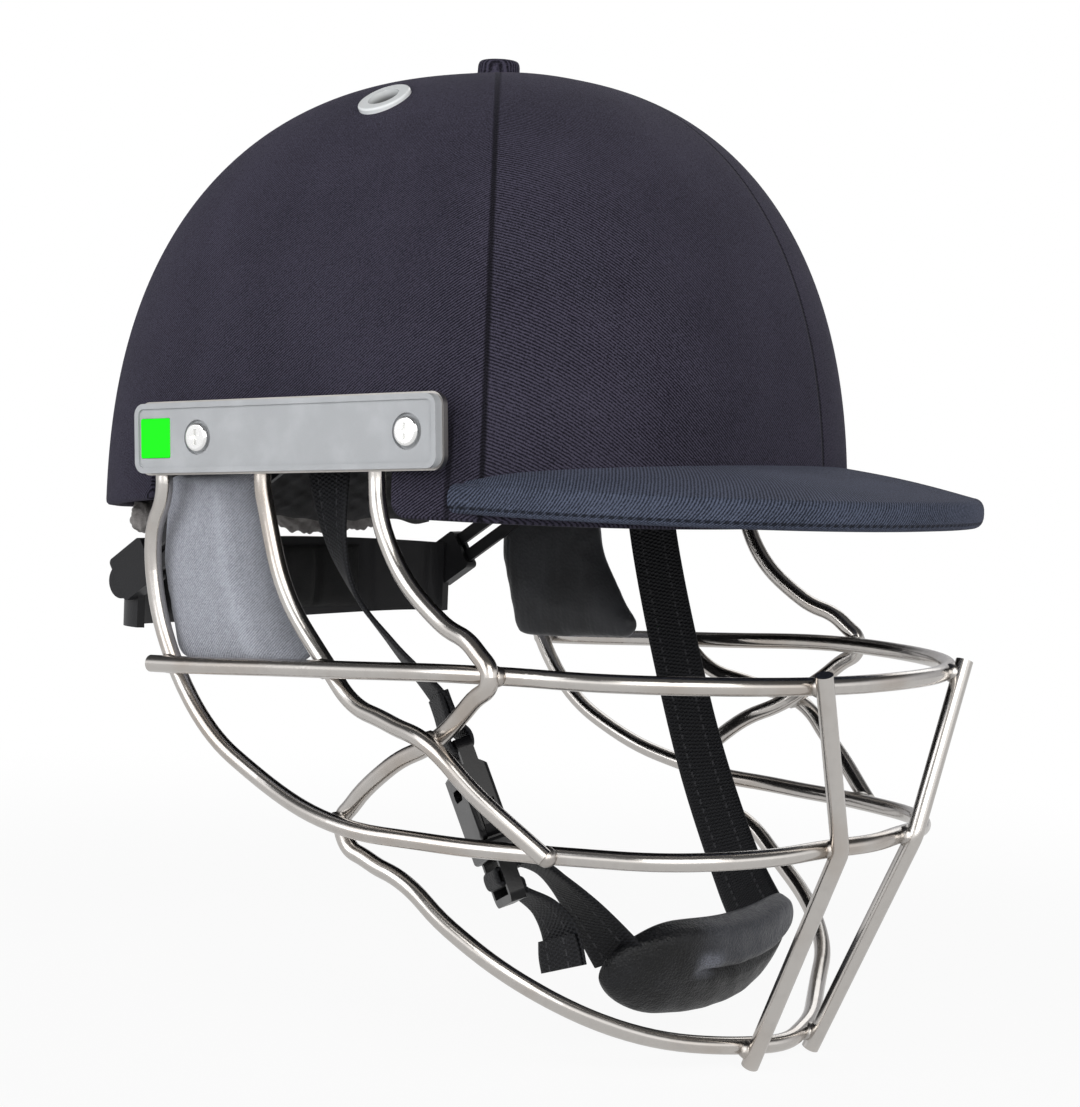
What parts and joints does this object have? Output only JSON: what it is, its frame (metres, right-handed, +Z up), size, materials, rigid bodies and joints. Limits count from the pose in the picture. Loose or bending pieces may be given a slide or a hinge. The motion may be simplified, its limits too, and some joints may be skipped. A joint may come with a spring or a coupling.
{
  "type": "cricket batting helmet",
  "caption": "Cloth-covered batting helmet with peak, bent-wire face grille on side plates, inner liner, padded chin strap with buckle and rear adjuster.",
  "frame": {"origin": "middle of the head opening, at the level of the shell's widest plane", "axes": "+Z up through the crown, -Y the way the wearer faces, +X the wearer's left"},
  "size_m": [0.2038, 0.291, 0.298],
  "materials": {
    "cover_cloth": "fine twill, matt",
    "shell_plastic": "moulded, satin inside",
    "peak_plastic": "plain",
    "grommet_plastic": "smooth",
    "liner_foam": "moulded bead foam",
    "comfort_cloth": "soft brushed cloth over foam",
    "plate_steel": "satin",
    "plate_plastic": "satin",
    "inlay_plastic": "smooth",
    "screw_steel": "polished",
    "black_plastic": "fine grain",
    "wire_metal": "satin with weld colour",
    "pad_cloth": "smooth coated cloth over foam",
    "webbing": "woven, ribbed",
    "buckle_plastic": "glossy",
    "cup_foam": "coated cloth over foam"
  },
  "bodies": {
    "helmet": {"outer_shell": "shell_plastic", "cover_front_panel": "cover_cloth", "cover_left_panel": "cover_cloth", "cover_right_panel": "cover_cloth", "top_button": "cover_cloth", "peak_board": "peak_plastic", "peak_under_cloth": "cover_cloth", "peak_top_cloth": "cover_cloth", "vent_grommet_left": "grommet_plastic", "vent_grommet_right": "grommet_plastic", "impact_liner": "liner_foam", "crown_pad": "comfort_cloth", "brow_pad": "comfort_cloth", "rear_neck_pad": "comfort_cloth", "grille_plate_left": "plate_steel", "grille_plate_right": "plate_steel", "plate_cover_left": "plate_plastic", "plate_cover_right": "plate_plastic", "plate_inlay_left": "inlay_plastic", "plate_inlay_right": "inlay_plastic", "plate_screws": "screw_steel", "plate_spacers": "black_plastic", "tee_nuts": "screw_steel", "grille_upper_ring": "wire_metal", "grille_middle_ring": "wire_metal", "grille_chin_ring": "wire_metal", "grille_cheek_wire_left": "wire_metal", "grille_cheek_wire_right": "wire_metal", "grille_front_bar_left": "wire_metal", "grille_front_bar_right": "wire_metal", "temple_pad_left": "pad_cloth", "temple_pad_right": "pad_cloth", "strap_anchor_left": "black_plastic", "strap_anchor_right": "black_plastic"},
    "chin_strap": {"webbing_near": "webbing", "webbing_far": "webbing", "chin_cup": "cup_foam", "buckle_socket": "buckle_plastic", "webbing_lower": "webbing"},
    "buckle_plug": {"buckle_plug": "buckle_plastic", "webbing_tail": "webbing"},
    "prong_rear": {"prong_rear": "buckle_plastic"},
    "prong_front": {"prong_front": "buckle_plastic"},
    "adjuster_arms": {"adjuster_arm_left": "black_plastic", "adjuster_arm_right": "black_plastic"},
    "cradle": {"cradle": "black_plastic", "cradle_pad": "comfort_cloth"},
    "dial": {"dial_knob": "black_plastic"}
  },
  "joints": [
    {"name": "strap_swing", "type": "hinge", "parent": "helmet", "child": "chin_strap", "pos_m": [0, -0.002, 0.038], "axis": [1, 0, 0], "range_deg": [-3, 3]},
    {"name": "buckle_release", "type": "slide", "parent": "chin_strap", "child": "buckle_plug", "axis": [0.0748, -0.4199, -0.9045], "range_m": [0, 0.012], "deforming": ["webbing_lower"]},
    {"name": "prong_rear_press", "type": "hinge", "parent": "buckle_plug", "child": "prong_rear", "pos_m": [-0.06275, -0.05364, -0.08697], "axis": [0.775, -0.5464, 0.3177], "range_deg": [0, 8], "stiffness_Nm_per_rad": 0.05},
    {"name": "prong_front_press", "type": "hinge", "parent": "buckle_plug", "child": "prong_front", "pos_m": [-0.07267, -0.06509, -0.08248], "axis": [-0.775, 0.5464, -0.3177], "range_deg": [0, 8], "stiffness_Nm_per_rad": 0.05},
    {"name": "adjuster_tilt", "type": "hinge", "parent": "helmet", "child": "adjuster_arms", "pos_m": [0, -0.002, 0.038], "axis": [1, 0, 0], "range_deg": [-6, 0]},
    {"name": "cradle_slide", "type": "slide", "parent": "adjuster_arms", "child": "cradle", "axis": [0, -0.8387, 0.5446], "range_m": [0, 0.01]},
    {"name": "dial_turn", "type": "hinge", "parent": "cradle", "child": "dial", "pos_m": [0, 0.1069, -0.02387], "axis": [0, 1, 0], "range_deg": [0, 150]}
  ],
  "couplings": [
    {"joint": "dial_turn", "follows": "cradle_slide", "rad_per_m": 261}
  ]
}
